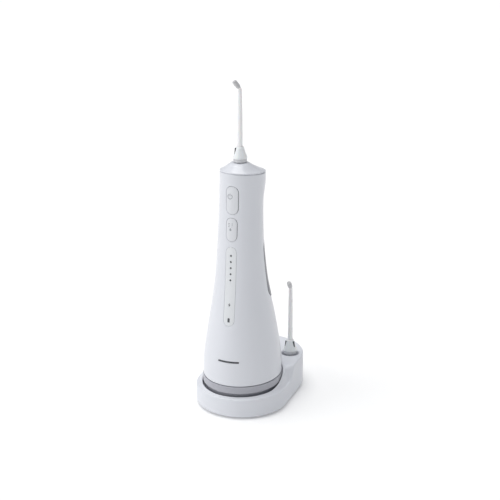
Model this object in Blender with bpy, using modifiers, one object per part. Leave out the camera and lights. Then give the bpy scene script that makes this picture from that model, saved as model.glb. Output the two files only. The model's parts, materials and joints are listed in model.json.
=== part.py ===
"""Cordless water flosser standing on its charging stand, with a spare nozzle.

Lengths are in millimetres until MM turns them into metres. +Z is up and the front faces -Y.
The origin is the middle of the underside. Handset parts are modelled about the handset's own upright axis.
"""

import math

import bmesh
import bpy
import numpy as np
from mathutils import Matrix, Vector

MM = 0.001

# Driving dimensions
STAND_WIDTH = 80.0
STAND_LENGTH = 119.0
STAND_FRONT_TOP = 19.2
STAND_REAR_TOP = 30.5
SKIRT_Z = 29.0
RIM_Z = 208.3
RIM_SLOPE = 0.142
CAP_TOP_Z = 218.0
NOZZLE_LENGTH = 70.3
NOZZLE_Y = -5.5
NOZZLE_TIP_TURN = math.radians(-60)
WALL = 1.8
GAP = 0.35
BUTTON_TRAVEL = 0.7

# Where the handset and the two nozzle pockets stand on the stadium-shaped base
CORNER_R = STAND_WIDTH / 2
HANDSET_Y = -(STAND_LENGTH - STAND_WIDTH) / 2
REAR_CENTRE_Y = -HANDSET_Y
POCKET_X = 28.0
POCKET_Y = HANDSET_Y + 45.0
WELL_FLOOR_Z = 13.0
WELL_CLEARANCE = 1.0
POCKET_R = 7.4
SPARE_Z = STAND_REAR_TOP - 0.3
SHANK_LENGTH = 12.5
POCKET_FLOOR_Z = SPARE_Z - SHANK_LENGTH - 0.1
SCREWS = (13.6, 42.6)

# The handset's outer skin: height, half width, front and back of the oval section
STATIONS = np.array(
    (
        (SKIRT_Z, 33.2, -37.0, 37.0),
        (40.0, 33.0, -36.7, 36.8),
        (55.0, 31.5, -35.2, 35.0),
        (70.0, 29.2, -33.1, 32.4),
        (85.0, 26.8, -31.0, 29.0),
        (98.0, 24.5, -29.1, 25.4),
        (110.0, 22.7, -27.5, 22.4),
        (128.0, 20.8, -25.6, 18.8),
        (146.0, 19.5, -24.4, 16.4),
        (160.0, 18.9, -23.5, 15.7),
        (175.0, 18.4, -22.5, 16.4),
        (187.0, 18.3, -21.7, 17.6),
        (192.0, 18.5, -21.6, 19.6),
        (198.0, 18.7, -21.5, 22.4),
        (205.0, 18.7, -21.4, 23.2),
        (RIM_Z + 4, 18.7, -21.3, 23.4),
    )
)
SLOPES = np.array([np.gradient(STATIONS[:, k], STATIONS[:, 0]) for k in (1, 2, 3)]).T

# Front panel features: middle height, half width, half height
POWER = (189.2, 5.6, 11.8)
PRESSURE = (164.2, 5.0, 10.0)
CONTROLS_X = -1.2
WINDOW = (115.4, 4.85, 34.0)
LAMP_HEIGHTS = (141.8, 136.5, 131.2, 125.9, 120.7)
CHARGE_Z = 99.5
BATTERY_Z = 86.5
BRAND_BAR = (50.5, 9.5, 0.7)
# Rear features
PANEL = (123.5, 56.0, 26.5)
FILLER = (111.5, 12.5, 11.0)
PORT_Z = 105.6
RELEASE = (197.3, 5.5, 3.6)

# Gear train and pump, stacked above the tank
TANK_TOP_Z = 111.5
BULKHEAD_Z = 114.0
GEAR_MODULE = 0.6
PINION_TEETH = 10
GEAR_TEETH = 43
MESH_PLAY = 0.1
MOTOR_R = 10.0
MOTOR_Z = 127.2
GEAR_Z = MOTOR_Z + GEAR_MODULE * (PINION_TEETH + GEAR_TEETH) / 2 + MESH_PLAY
GEAR_Y = (-11.5, -8.6)
CRANK_R = 2.2
ROD_LENGTH = 17.0
PUMP_Z = (168.6, 184.0)
VALVE_TOP_Z = 191.0
SOCKET_FOOT_Z = CAP_TOP_Z - 14.6
CELL_R = 6.8
CELL_Y = 6.3
CELL_Z = (147.0, 190.0)


def section(z):
    """(half width, front, back) of the handset's skin at a height, smooth through the stations."""
    heights = STATIONS[:, 0]
    i = int(np.clip(np.searchsorted(heights, z) - 1, 0, len(heights) - 2))
    span = heights[i + 1] - heights[i]
    t = min(max((z - heights[i]) / span, 0.0), 1.0)
    blend = 3 * t**2 - 2 * t**3
    lead, trail = t**3 - 2 * t**2 + t, t**3 - t**2
    return (
        (1 - blend) * STATIONS[i, 1:]
        + blend * STATIONS[i + 1, 1:]
        + span * (lead * SLOPES[i] + trail * SLOPES[i + 1])
    )


def skin(angle, z, offset=0.0):
    """Point on the skin, angle counted from +X towards the rear, moved outwards level by offset."""
    half_width, front, back = section(z)
    depth = (back - front) / 2
    normal = Vector((math.cos(angle) / half_width, math.sin(angle) / depth)).normalized()
    x = half_width * math.cos(angle) + offset * normal.x
    y = (front + back) / 2 + depth * math.sin(angle) + offset * normal.y
    return Vector((x, y, z))


def oval(half_width, front, back, z, count):
    """A level oval ring of points."""
    turn = 2 * math.pi / count
    middle, depth = (front + back) / 2, (back - front) / 2
    return [
        Vector((half_width * math.cos(i * turn), middle + depth * math.sin(i * turn), z))
        for i in range(count)
    ]


def skin_ring(z, offset, count, tilt=0.0):
    """A ring of the skin, level or tilted by a share of the rim's fall towards the rear."""
    turn = 2 * math.pi / count
    ring = []
    for i in range(count):
        level = skin(i * turn, z)
        height = z - tilt * RIM_SLOPE * level.y
        point = skin(i * turn, height, offset)
        ring.append(Vector((point.x, point.y, height)))
    return ring


# Scene, materials and object helpers


def clear_scene():
    for old in list(bpy.data.objects):
        bpy.data.objects.remove(old, do_unlink=True)


def new_collection(name):
    made = bpy.data.collections.new(name)
    bpy.context.scene.collection.children.link(made)
    return made


clear_scene()
PARTS = new_collection("water_flosser")
CUTTERS = new_collection("cutters")
MATERIALS = {}


def material(name, colour, roughness, metallic=0.0, alpha=1.0):
    made = bpy.data.materials.new(name)
    made.use_nodes = True
    shader = made.node_tree.nodes["Principled BSDF"]
    shader.inputs["Base Color"].default_value = (*colour, 1.0)
    shader.inputs["Roughness"].default_value = roughness
    shader.inputs["Metallic"].default_value = metallic
    shader.inputs["Alpha"].default_value = alpha
    MATERIALS[name] = made


def make_materials():
    material("white_gloss", (0.86, 0.88, 0.91), 0.28)
    material("white_satin", (0.84, 0.86, 0.89), 0.42)
    material("nozzle_white", (0.88, 0.88, 0.89), 0.3)
    material("smoke_grey", (0.33, 0.34, 0.38), 0.35)
    material("tank_grey", (0.42, 0.43, 0.47), 0.2, alpha=0.6)
    material("window_white", (0.83, 0.86, 0.88), 0.15)
    material("mark_grey", (0.22, 0.23, 0.25), 0.5)
    material("ring_grey", (0.55, 0.6, 0.66), 0.35)
    material("rubber_grey", (0.25, 0.26, 0.28), 0.8)
    material("black_plastic", (0.05, 0.05, 0.06), 0.5)
    material("frame_plastic", (0.6, 0.62, 0.64), 0.5)
    material("board_green", (0.04, 0.25, 0.12), 0.45)
    material("copper", (0.72, 0.4, 0.22), 0.35, metallic=1.0)
    material("steel", (0.6, 0.61, 0.63), 0.3, metallic=1.0)
    material("gear_nylon", (0.8, 0.78, 0.7), 0.5)
    material("cell_blue", (0.12, 0.25, 0.5), 0.35)
    material("hose_clear", (0.75, 0.78, 0.8), 0.3)


make_materials()


def empty(name, at):
    made = bpy.data.objects.new(name, None)
    made.location = Vector(at) * MM
    PARTS.objects.link(made)
    return made


HANDSET = empty("handset_axis", (0, HANDSET_Y, 0))
STAND = empty("stand_origin", (0, 0, 0))


def add_object(name, mesh, finish, parent, at=(0, 0, 0), turn=(0, 0, 0)):
    """Puts a mesh in the scene. at is where the mesh's own zero stands, under the parent."""
    made = bpy.data.objects.new(name, mesh)
    (PARTS if finish else CUTTERS).objects.link(made)
    made.parent = parent
    made.location = Vector(at) * MM
    made.rotation_euler = turn
    if finish:
        mesh.materials.append(MATERIALS[finish])
    else:
        made.hide_render = True
        made.display_type = "WIRE"
    return made


def finish_mesh(name, bm, pivot=(0, 0, 0)):
    """Turns a millimetre bmesh into a mesh in metres whose zero is the pivot."""
    bmesh.ops.translate(bm, verts=bm.verts, vec=-Vector(pivot))
    bmesh.ops.scale(bm, verts=bm.verts, vec=(MM, MM, MM))
    bmesh.ops.recalc_face_normals(bm, faces=bm.faces)
    mesh = bpy.data.meshes.new(name)
    bm.to_mesh(mesh)
    bm.free()
    mesh.shade_smooth()
    mesh.set_sharp_from_angle(angle=math.radians(35))
    return mesh


def ring_rows(bm, rings):
    return [[bm.verts.new(point) for point in ring] for ring in rings]


def bridge(bm, first, second):
    count = len(first)
    for i in range(count):
        j = (i + 1) % count
        bm.faces.new((first[i], first[j], second[j], second[i]))


def loft(name, rings, finish, parent, pivot=(0, 0, 0), around=False):
    """Solid through rings of equal point counts, closed by end faces, or back on its first ring."""
    bm = bmesh.new()
    rows = ring_rows(bm, rings)
    for first, second in zip(rows, rows[1:]):
        bridge(bm, first, second)
    if around:
        bridge(bm, rows[-1], rows[0])
    else:
        bm.faces.new(rows[0])
        bm.faces.new(rows[-1])
    return add_object(name, finish_mesh(name, bm, pivot), finish, parent, at=pivot)


def block(name, low, high, finish, parent, pivot=None, turn=(0, 0, 0), bevel=0.0):
    """Box between two corners."""
    low, high = Vector(low), Vector(high)
    middle = (low + high) / 2
    pivot = Vector(pivot) if pivot is not None else middle
    bm = bmesh.new()
    bmesh.ops.create_cube(bm, size=1.0)
    bmesh.ops.scale(bm, verts=bm.verts, vec=high - low)
    bmesh.ops.translate(bm, verts=bm.verts, vec=middle)
    made = add_object(name, finish_mesh(name, bm, pivot), finish, parent, at=pivot, turn=turn)
    if bevel:
        round_edges(made, bevel)
    return made


def round_edges(made, width, segments=2):
    rounding = made.modifiers.new("rounded_edges", "BEVEL")
    rounding.width = width * MM
    rounding.segments = segments
    rounding.limit_method = "ANGLE"
    rounding.angle_limit = math.radians(40)


def turned(name, profile, finish, parent, at=(0, 0, 0), turn=(0, 0, 0), steps=32, closed=False):
    """Turned about Z from (radius, height) points that run down the outer side."""
    bm = bmesh.new()
    points = [bm.verts.new((radius * MM, 0, height * MM)) for radius, height in profile]
    for first, second in zip(points, points[1:]):
        bm.edges.new((first, second))
    if closed:
        bm.edges.new((points[-1], points[0]))
    mesh = bpy.data.meshes.new(name)
    bm.to_mesh(mesh)
    bm.free()
    made = add_object(name, mesh, finish, parent, at=at, turn=turn)
    screw = made.modifiers.new("turned", "SCREW")
    screw.steps = steps
    screw.render_steps = steps
    screw.use_merge_vertices = True
    screw.merge_threshold = 1e-6
    screw.use_smooth_shade = True
    return made


def cylinder(name, radius, low, high, finish, parent, at=(0, 0, 0), turn=(0, 0, 0), steps=24):
    profile = ((0, high), (radius, high), (radius, low), (0, low))
    return turned(name, profile, finish, parent, at=at, turn=turn, steps=steps)


def collar(name, inner, outer, low, high, finish, parent, at=(0, 0, 0), turn=(0, 0, 0), steps=32):
    profile = ((inner, high), (outer, high), (outer, low), (inner, low))
    return turned(name, profile, finish, parent, at=at, turn=turn, steps=steps, closed=True)


def outline_prism(name, points, low, high, finish, parent, at=(0, 0, 0), turn=(0, 0, 0)):
    """Flat outline of (x, y) points made thick from low to high along its own Z, as a welded mesh."""
    curve = bpy.data.curves.new(name, "CURVE")
    curve.dimensions = "2D"
    curve.fill_mode = "BOTH"
    curve.extrude = (high - low) / 2 * MM
    spline = curve.splines.new("POLY")
    spline.points.add(len(points) - 1)
    for slot, (x, y) in zip(spline.points, points):
        slot.co = (x * MM, y * MM, 0, 1)
    spline.use_cyclic_u = True
    guide = bpy.data.objects.new(name + "_outline", curve)
    CUTTERS.objects.link(guide)
    bpy.context.view_layer.update()
    shape = guide.evaluated_get(bpy.context.evaluated_depsgraph_get())
    bm = bmesh.new()
    bm.from_mesh(bpy.data.meshes.new_from_object(shape))
    bpy.data.objects.remove(guide)
    bmesh.ops.remove_doubles(bm, verts=bm.verts, dist=1e-6)
    bmesh.ops.scale(bm, verts=bm.verts, vec=(1 / MM, 1 / MM, 1 / MM))
    bmesh.ops.translate(bm, verts=bm.verts, vec=(0, 0, (low + high) / 2))
    return add_object(name, finish_mesh(name, bm), finish, parent, at=at, turn=turn)


def combine(made, other, operation):
    """Adds a Boolean of one object to another and files the second with the cutters."""
    boolean = made.modifiers.new(operation.lower() + "_" + other.name, "BOOLEAN")
    boolean.operation = operation
    boolean.object = other
    for collection in list(other.users_collection):
        collection.objects.unlink(other)
    CUTTERS.objects.link(other)
    other.hide_render = True
    other.display_type = "WIRE"


def cut(made, *others):
    for other in others:
        combine(made, other, "DIFFERENCE")


def join(made, *others):
    for other in others:
        combine(made, other, "UNION")


def hose(name, points, radius, finish, parent, pivot=(0, 0, 0), radii=None, turn=(0, 0, 0)):
    """Round solid along points, as a bevelled poly curve."""
    curve = bpy.data.curves.new(name, "CURVE")
    curve.dimensions = "3D"
    curve.bevel_depth = radius * MM
    curve.bevel_resolution = 2
    curve.use_fill_caps = True
    spline = curve.splines.new("POLY")
    spline.points.add(len(points) - 1)
    for i, point in enumerate(points):
        spline.points[i].co = (*((Vector(point) - Vector(pivot)) * MM), 1)
        spline.points[i].radius = 1.0 if radii is None else radii[i] / radius
    made = bpy.data.objects.new(name, curve)
    PARTS.objects.link(made)
    made.parent = parent
    made.location = Vector(pivot) * MM
    made.rotation_euler = turn
    curve.materials.append(MATERIALS[finish])
    return made


# Outlines


def rounded_rectangle(half_width, half_height, corner, steps=4, longest=None):
    """Closed outline about zero, anticlockwise from the right side. Sides over the longest step are divided."""
    corners = []
    for quarter, (sx, sy) in enumerate(((1, 1), (-1, 1), (-1, -1), (1, -1))):
        for k in range(steps + 1):
            angle = (quarter + k / steps) * math.pi / 2
            x = sx * (half_width - corner) + corner * math.cos(angle)
            y = sy * (half_height - corner) + corner * math.sin(angle)
            corners.append((x, y))
    found = []
    for (x, y), (next_x, next_y) in zip(corners, corners[1:] + corners[:1]):
        parts = max(1, math.ceil(math.hypot(next_x - x, next_y - y) / longest)) if longest else 1
        found += [(x + (next_x - x) * k / parts, y + (next_y - y) * k / parts) for k in range(parts)]
    return found


def stadium(inset, steps=14):
    """The stand's footprint: two half circles joined by straight sides."""
    radius = CORNER_R - inset
    found = []
    for centre, start in ((REAR_CENTRE_Y, 0.0), (HANDSET_Y, math.pi)):
        for k in range(steps + 1):
            angle = start + math.pi * k / steps
            found.append((radius * math.cos(angle), centre + radius * math.sin(angle)))
    return found


# Pieces that wrap on the handset's skin


# A side of the handset: its sign along Y, and how far round from the middle its own middle line lies
FRONT, CONTROLS, REAR = (-1, 0.0), (-1, CONTROLS_X), (1, 0.0)


def wrapped(side, middle_z, across, up, offset):
    """Point on the skin: across is counted round it from the side's middle line, seen from outside."""
    sign, middle = side
    z = middle_z + up
    return skin(sign * (math.pi / 2 - (across + middle) / section(z)[0]), z, offset)


LONGEST = 9.0


def wrapped_solid(name, side, middle_z, outline, low, high, finish, parent, rings=3, pivot=(0, 0, 0)):
    """Plate that follows the skin, between two offsets from it, inside an outline about its middle."""
    bm = bmesh.new()
    shells = []
    for offset in (high, low):
        middle = bm.verts.new(wrapped(side, middle_z, 0, 0, offset))
        rows = []
        for k in range(1, rings + 1):
            share = k / rings
            ring = [wrapped(side, middle_z, share * x, share * y, offset) for x, y in outline]
            rows.append([bm.verts.new(point) for point in ring])
        for i in range(len(outline)):
            bm.faces.new((middle, rows[0][i], rows[0][(i + 1) % len(outline)]))
        for first, second in zip(rows, rows[1:]):
            bridge(bm, first, second)
        shells.append(rows[-1])
    bridge(bm, *shells)
    return add_object(name, finish_mesh(name, bm, pivot), finish, parent, at=pivot)


def opening(name, side, spec, corner, grow=GAP, depth=(-WALL - 4, 3)):
    """Cutter for a wrapped piece's place in the skin."""
    middle_z, half_width, half_height = spec
    outline = rounded_rectangle(half_width + grow, half_height + grow, corner + grow, longest=LONGEST / 2)
    return wrapped_solid(name, side, middle_z, outline, depth[0], depth[1], None, HANDSET)


# Stand


def ramp_profile():
    """(y, z) outline of the air above the stand: low in front, rising in an S to the rear block."""
    start, end, steps = HANDSET_Y - 6.0, HANDSET_Y + 30.0, 10
    found = [(-STAND_LENGTH, STAND_FRONT_TOP)]
    for k in range(steps + 1):
        t = k / steps
        rise = (STAND_REAR_TOP - STAND_FRONT_TOP) * (3 * t**2 - 2 * t**3)
        found.append((start + (end - start) * t, STAND_FRONT_TOP + rise))
    top = 2 * STAND_REAR_TOP
    return found + [(STAND_LENGTH, STAND_REAR_TOP), (STAND_LENGTH, top), (-STAND_LENGTH, top)]


def make_stand_shell():
    rows = ((3.0, 1.2), (1.3, 1.8), (0.4, 3.0), (0.0, 5.0), (0.0, 40.0))
    rings = [[Vector((x, y, z)) for x, y in stadium(inset)] for inset, z in rows]
    shell = loft("stand_shell", rings, "white_satin", STAND)
    upright = (math.pi / 2, 0, math.pi / 2)
    air = outline_prism("stand_air", ramp_profile(), -60, 60, None, STAND, turn=upright)
    cut(shell, air)
    round_edges(shell, 1.8, 3)
    half_width, front, back = section(SKIRT_Z)
    grow = WELL_CLEARANCE
    well = [
        oval(half_width + grow, front - grow, back + grow, z, 56) for z in (WELL_FLOOR_Z, 50)
    ]
    cut(shell, loft("stand_well", well, None, HANDSET))
    hollow = outline_prism("stand_hollow", stadium(5.8), 0, WELL_FLOOR_Z - 1.8, None, STAND)
    cut(shell, hollow)
    for side in (-1, 1):
        at = (side * POCKET_X, POCKET_Y, 0)
        name = "right" if side > 0 else "left"
        profile = ((0, 50), (POCKET_R, 50), (POCKET_R, 24), (3.4, 21), (3.4, POCKET_FLOOR_Z), (0, POCKET_FLOOR_Z))
        cut(shell, turned(f"pocket_{name}", profile, None, STAND, at=at))
    rear = REAR_CENTRE_Y + CORNER_R
    cut(shell, cylinder("inlet_hole", 4.4, -6, 14, None, STAND, at=(0, rear, 7.2), turn=(math.pi / 2, 0, 0)))
    bay = block("rear_bay", (-14, 44.5 + HANDSET_Y, 5), (14, rear - 9, STAND_REAR_TOP - 3), None, STAND)
    cut(shell, bay)


def make_stand_inside():
    cover = outline_prism("stand_bottom_cover", stadium(6.1), 1.4, 3.4, "white_satin", STAND)
    cut(cover, block("inlet_notch", (-6, 46, 0), (6, 70, 6), None, STAND))
    corners = [(sx * (CORNER_R - 18), sy * (STAND_LENGTH / 2 - 21.5)) for sx in (-1, 1) for sy in (-1, 1)]
    for n, (x, y) in enumerate(corners, 1):
        profile = ((0, 1.1), (5.0, 1.1), (5.0, 0.4), (4.6, 0), (0, 0))
        turned(f"stand_foot_{n}", profile, "rubber_grey", STAND, at=(x, y, 0), steps=24)
        seat = (math.copysign(SCREWS[0], x), math.copysign(SCREWS[1], y))
        cut(cover, cylinder(f"screw_hole_{n}", 2.6, 0, 5, None, STAND, at=(*seat, 0), steps=16))
        head = ((0, 3.2), (2.2, 3.2), (2.2, 1.9), (0, 1.9))
        turned(f"stand_screw_{n}", head, "steel", STAND, at=(*seat, 0), steps=16)
    collar("transmitter_coil", 18, 28.8, 7.4, 10.6, "copper", STAND, at=(0, HANDSET_Y, 0), steps=40)
    low = (-12, REAR_CENTRE_Y + 7, 6.0)
    block("stand_circuit_board", low, (12, REAR_CENTRE_Y + 27, 7.6), "board_green", STAND)
    inlet = ((0, -6.0), (2.6, -6.0), (2.6, 1.5), (4.0, 1.5), (4.0, -8.0), (0, -8.0))
    turned("cord_inlet_socket", inlet, "black_plastic", STAND, at=(0, REAR_CENTRE_Y + CORNER_R - 2.4, 7.2), turn=(-math.pi / 2, 0, 0), steps=24)


# Water tank


def tank_section(z, wall):
    """(half width, front, back) of the vessel: it stands off the skin, further at the front for the board."""
    half_width, front, back = section(z)
    t = min(max((z - 58.0) / 18.0, 0.0), 1.0)
    front_gap = 4.2 + 5.0 * (3 * t**2 - 2 * t**3)
    return half_width - 4.2 - wall, front + front_gap + wall, back - 4.2 - wall


def make_tank():
    count = 32
    half_width, front, back = section(SKIRT_Z)
    foot = ((14.0, 3.2), (15.0, 2.2), (22.6, 1.9), (23.6, 0.2), (SKIRT_Z - 0.5, 0.1))
    rings = [oval(half_width - i, front + i, back - i, z, count) for z, i in foot]
    heights = (SKIRT_Z - 0.5, 40, 58, 67, 76, 88, 100, TANK_TOP_Z)
    rings += [oval(*tank_section(z, 0), z, count) for z in heights]
    tank = loft("water_tank", rings, "tank_grey", HANDSET)
    inside = [oval(*tank_section(z, 1.6), z, count) for z in (40, 58, 67, 76, 88, 100, TANK_TOP_Z - 2)]
    low = [oval(*tank_section(SKIRT_Z, 1.6), z, count) for z in (16.0, SKIRT_Z)]
    cut(tank, loft("tank_inside", low + inside, None, HANDSET))
    port = rounded_rectangle(7.5, 3.4, 3.0)
    cut(tank, wrapped_solid("tank_port", REAR, PORT_Z, port, -9.0, -2.5, None, HANDSET))
    cut(tank, cylinder("suction_hole", 3.6, TANK_TOP_Z - 6, TANK_TOP_Z + 6, None, HANDSET, at=(*SUCTION, 0)))
    seal = ((2.3, TANK_TOP_Z - 0.3), (3.2, TANK_TOP_Z - 0.3), (3.2, TANK_TOP_Z - 1.8), (2.3, TANK_TOP_Z - 1.8))
    turned("tank_seal", seal, "rubber_grey", HANDSET, at=(*SUCTION, 0), steps=20, closed=True)


SUCTION = (12.6, 1.5)


# Housing: shell, head, chassis and controls


def make_housing_shell():
    count = 44
    heights = [SKIRT_Z, 38, 48, 58, 68, 78, 88, 98, 108, 120, 133, 148, 165, 178]
    rows = [(z, 0.0) for z in heights] + [(187, 0.2), (193.4, 0.45), (200, 0.75), (RIM_Z, 1.0)]
    rings = [skin_ring(z, 0.0, count, tilt) for z, tilt in rows]
    rings += [skin_ring(z, -WALL, count, tilt) for z, tilt in reversed(rows)]
    shell = loft("housing_shell", rings, "white_gloss", HANDSET, around=True)
    cut(shell, opening("power_opening", CONTROLS, POWER, 4.5))
    cut(shell, opening("pressure_opening", CONTROLS, PRESSURE, 4.5))
    cut(shell, opening("window_opening", CONTROLS, WINDOW, 4.6))
    cut(shell, opening("brand_opening", FRONT, BRAND_BAR, 0.6, grow=0.3, depth=(-0.9, 2)))
    cut(shell, opening("release_opening", REAR, RELEASE, 3.0, depth=(-5, 3)))
    cut(shell, wrapped_solid("panel_opening", REAR, PANEL[0], panel_outline(GAP), -4.5, 3, None, HANDSET, rings=6))


def panel_outline(grow):
    """Rear panel: nearly half way round the handset, with full corners. across is scaled by the skin's width."""
    spread = math.radians(86)
    found = []
    for x, y in rounded_rectangle(1.0, 1.0, 0.34, 5, longest=0.2):
        z = PANEL[0] + y * PANEL[2]
        width = section(z)[0]
        across = x * spread * width
        found.append((across + math.copysign(grow, x), y * (PANEL[2] + grow)))
    return found


def make_head_cap():
    """Cone round the nozzle that runs out to the tilted rim, with a lip inside the shell."""
    count = 36
    half_width, front, back = STATIONS[-2, 1:]
    bore, top = 5.3, CAP_TOP_Z - RIM_Z - GAP
    axis = Vector((0, NOZZLE_Y, 0))
    shape = ((0.0, 1.0), (0.7, 0.99), (1.3, 0.94), (2.4, 0.83), (4.3, 0.655), (5.7, 0.53), (7.3, 0.39), (8.8, 0.2), (top, 0.0))

    def ring(height, share, inset):
        """Rim oval drawn in towards the nozzle by a share, the rear sooner than the front."""
        row = []
        for rim in oval(half_width - inset, front + inset, back - inset, 0.0, count):
            way = (rim - axis).normalized()
            reach = share ** (1.25 + 0.45 * way.y) * ((rim - axis).length - bore + inset)
            point = axis + way * (bore - inset + reach)
            point.z = RIM_Z + GAP + height - RIM_SLOPE * point.y * share
            row.append(point)
        return row

    rings = [ring(height, share, 0.0) for height, share in shape]
    rings += [ring(top, 0.0, 1.0)]
    rings += [ring(height - 1.4, share, 1.0) for height, share in reversed(shape) if height > 1.9]
    lip = WALL + GAP + 0.25
    rings += [ring(-3.0, 1.0, lip + 1.4), ring(-3.0, 1.0, lip), ring(0.0, 1.0, lip)]
    loft("head_cap", rings, "white_gloss", HANDSET, around=True)


def make_controls():
    """Buttons, window, lamps, marks and the board behind them."""
    for name, spec in (("power_button", POWER), ("pressure_button", PRESSURE)):
        middle_z, half_width, half_height = spec
        outline = rounded_rectangle(half_width, half_height, 4.5, longest=LONGEST)
        pivot = wrapped(CONTROLS, middle_z, 0, 0, 0)
        wrapped_solid(name, CONTROLS, middle_z, outline, -WALL, 0.1, "white_satin", HANDSET, pivot=pivot)
    outline = rounded_rectangle(WINDOW[1], WINDOW[2], 4.6, longest=LONGEST)
    window = wrapped_solid("indicator_window", CONTROLS, WINDOW[0], outline, -1.5, -0.15, "window_white", HANDSET, rings=6)
    lamps = [(f"level_lamp_{n}", z, 0.75) for n, z in enumerate(LAMP_HEIGHTS, 1)]
    lamps += [("charge_lamp", CHARGE_Z, 1.2), ("battery_lamp", BATTERY_Z, 1.2)]
    for name, z, radius in lamps:
        hole = rounded_rectangle(radius + 0.3, radius + 0.3, radius + 0.3 - 0.01, 3)
        cut(window, wrapped_solid(name + "_hole", CONTROLS, z, hole, -4, 2, None, HANDSET, rings=1))
        spot = rounded_rectangle(radius, radius, radius - 0.01, 3)
        wrapped_solid(name, CONTROLS, z, spot, -1.6, -0.1, "mark_grey", HANDSET, rings=1)
    bar = rounded_rectangle(BRAND_BAR[1], BRAND_BAR[2], 0.6, 3, longest=LONGEST / 2)
    wrapped_solid("brand_bar", FRONT, BRAND_BAR[0], bar, -0.4, 0.05, "mark_grey", HANDSET, rings=2)
    low_end, high_end = Vector((0, -25.4, 80.5)), Vector((0, -16.0, 197.5))
    along = high_end - low_end
    tilt = math.atan2(along.y, along.z)
    board = block("control_board", (-6.5, 0, 0), (6.5, 1.3, along.length), "board_green", HANDSET, pivot=(0, 0, 0))
    board.location = low_end * MM
    board.rotation_euler = (-tilt, 0, 0)
    for name, spec in (("power_switch", POWER), ("pressure_switch", PRESSURE)):
        board_y = low_end.y + (spec[0] - low_end.z) * math.tan(tilt)
        button_back = wrapped(CONTROLS, spec[0], 0, 0, -WALL).y
        low = (-3, button_back + BUTTON_TRAVEL + 0.5, spec[0] - 3)
        block(name, low, (3, board_y - 0.6, spec[0] + 3), "black_plastic", HANDSET)


def make_rear_panel():
    panel = wrapped_solid("rear_panel", REAR, PANEL[0], panel_outline(0.0), -WALL, 0.0, "smoke_grey", HANDSET, rings=7)
    cut(panel, opening("filler_opening", REAR, FILLER, 4.0))
    outline = rounded_rectangle(FILLER[1], FILLER[2], 4.0, longest=LONGEST)
    top = wrapped(REAR, FILLER[0], 0, FILLER[2], 0)
    pivot = (0, top.y + 0.7, top.z - 0.4)
    wrapped_solid("filler_cap", REAR, FILLER[0], outline, -WALL, 0.0, "smoke_grey", HANDSET, rings=4, pivot=pivot)
    pad = rounded_rectangle(9.6, 4.6, 3.4, longest=LONGEST)
    wrapped_solid("filler_seal", REAR, PORT_Z, pad, -3.7, -WALL - 0.4, "rubber_grey", HANDSET, pivot=pivot)


def make_release_button():
    outline = rounded_rectangle(RELEASE[1], RELEASE[2], 3.0)
    pivot = wrapped(REAR, RELEASE[0], 0, 0, 0)
    wrapped_solid("release_button", REAR, RELEASE[0], outline, -WALL + 0.2, 0.7, "white_satin", HANDSET, pivot=pivot)
    coil = spiral(1.6, 0.3, pivot.y - WALL - 1.2, 3.2, 4)
    hose("release_spring", [(x, y, RELEASE[0] + z) for x, y, z in coil], 0.3, "steel", HANDSET)


def spiral(radius, wire, end_y, length, turns, per_turn=10):
    """Points of a coil about a level axis, ending at end_y."""
    count = turns * per_turn
    found = []
    for k in range(count + 1):
        angle = 2 * math.pi * k / per_turn
        y = end_y - wire - length * (1 - k / count)
        found.append((radius * math.cos(angle), y, radius * math.sin(angle)))
    return found


def make_chassis():
    count = 40
    half_width, front, back = section(BULKHEAD_Z)
    plate = [oval(half_width - 2.5, front + 7.2, back - 5.2, z, count) for z in (BULKHEAD_Z, BULKHEAD_Z + 2)]
    frame = loft("chassis", plate, "frame_plastic", HANDSET)
    for side in (-1, 1):
        x = side * 14.0
        rail = block(f"rail_{side}", (x - 1, -7.5, BULKHEAD_Z + 1), (x + 1, -3.0, 199), None, HANDSET)
        join(frame, rail)
    shelf = block("shelf", (-13.5, -10.0, 194.2), (13.5, 6.0, 196.2), None, HANDSET)
    join(frame, shelf)
    post = cylinder("axle_post", 2.6, -3.4, 3.2, None, HANDSET, at=(0, -15.2, GEAR_Z), turn=(math.pi / 2, 0, 0))
    leg = block("axle_leg", (-2, -16.5, BULKHEAD_Z + 1), (2, -14.0, GEAR_Z), None, HANDSET)
    join(frame, leg, post)
    cut(frame, cylinder("axle_bore", 1.3, -8, 8, None, HANDSET, at=(0, -15.2, GEAR_Z), turn=(math.pi / 2, 0, 0), steps=16))
    cut(frame, cylinder("suction_pass", 3.0, 100, 130, None, HANDSET, at=(*SUCTION, 0)))
    cut(frame, cylinder("outlet_pass", 3.0, 190, 200, None, HANDSET, at=(0, NOZZLE_Y, 0)))


# Pump drive


def gear_outline(teeth, phase):
    """Straight-flanked teeth on a pitch circle, with backlash."""
    pitch_r = GEAR_MODULE * teeth / 2
    tip_r, root_r = pitch_r + 0.9 * GEAR_MODULE, pitch_r - 1.15 * GEAR_MODULE
    step = 2 * math.pi / teeth
    found = []
    for n in range(teeth):
        middle = phase + n * step
        for share, radius in ((-0.31, root_r), (-0.11, tip_r), (0.11, tip_r), (0.31, root_r)):
            angle = middle + share * step
            found.append((radius * math.cos(angle), radius * math.sin(angle)))
    return found


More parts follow.
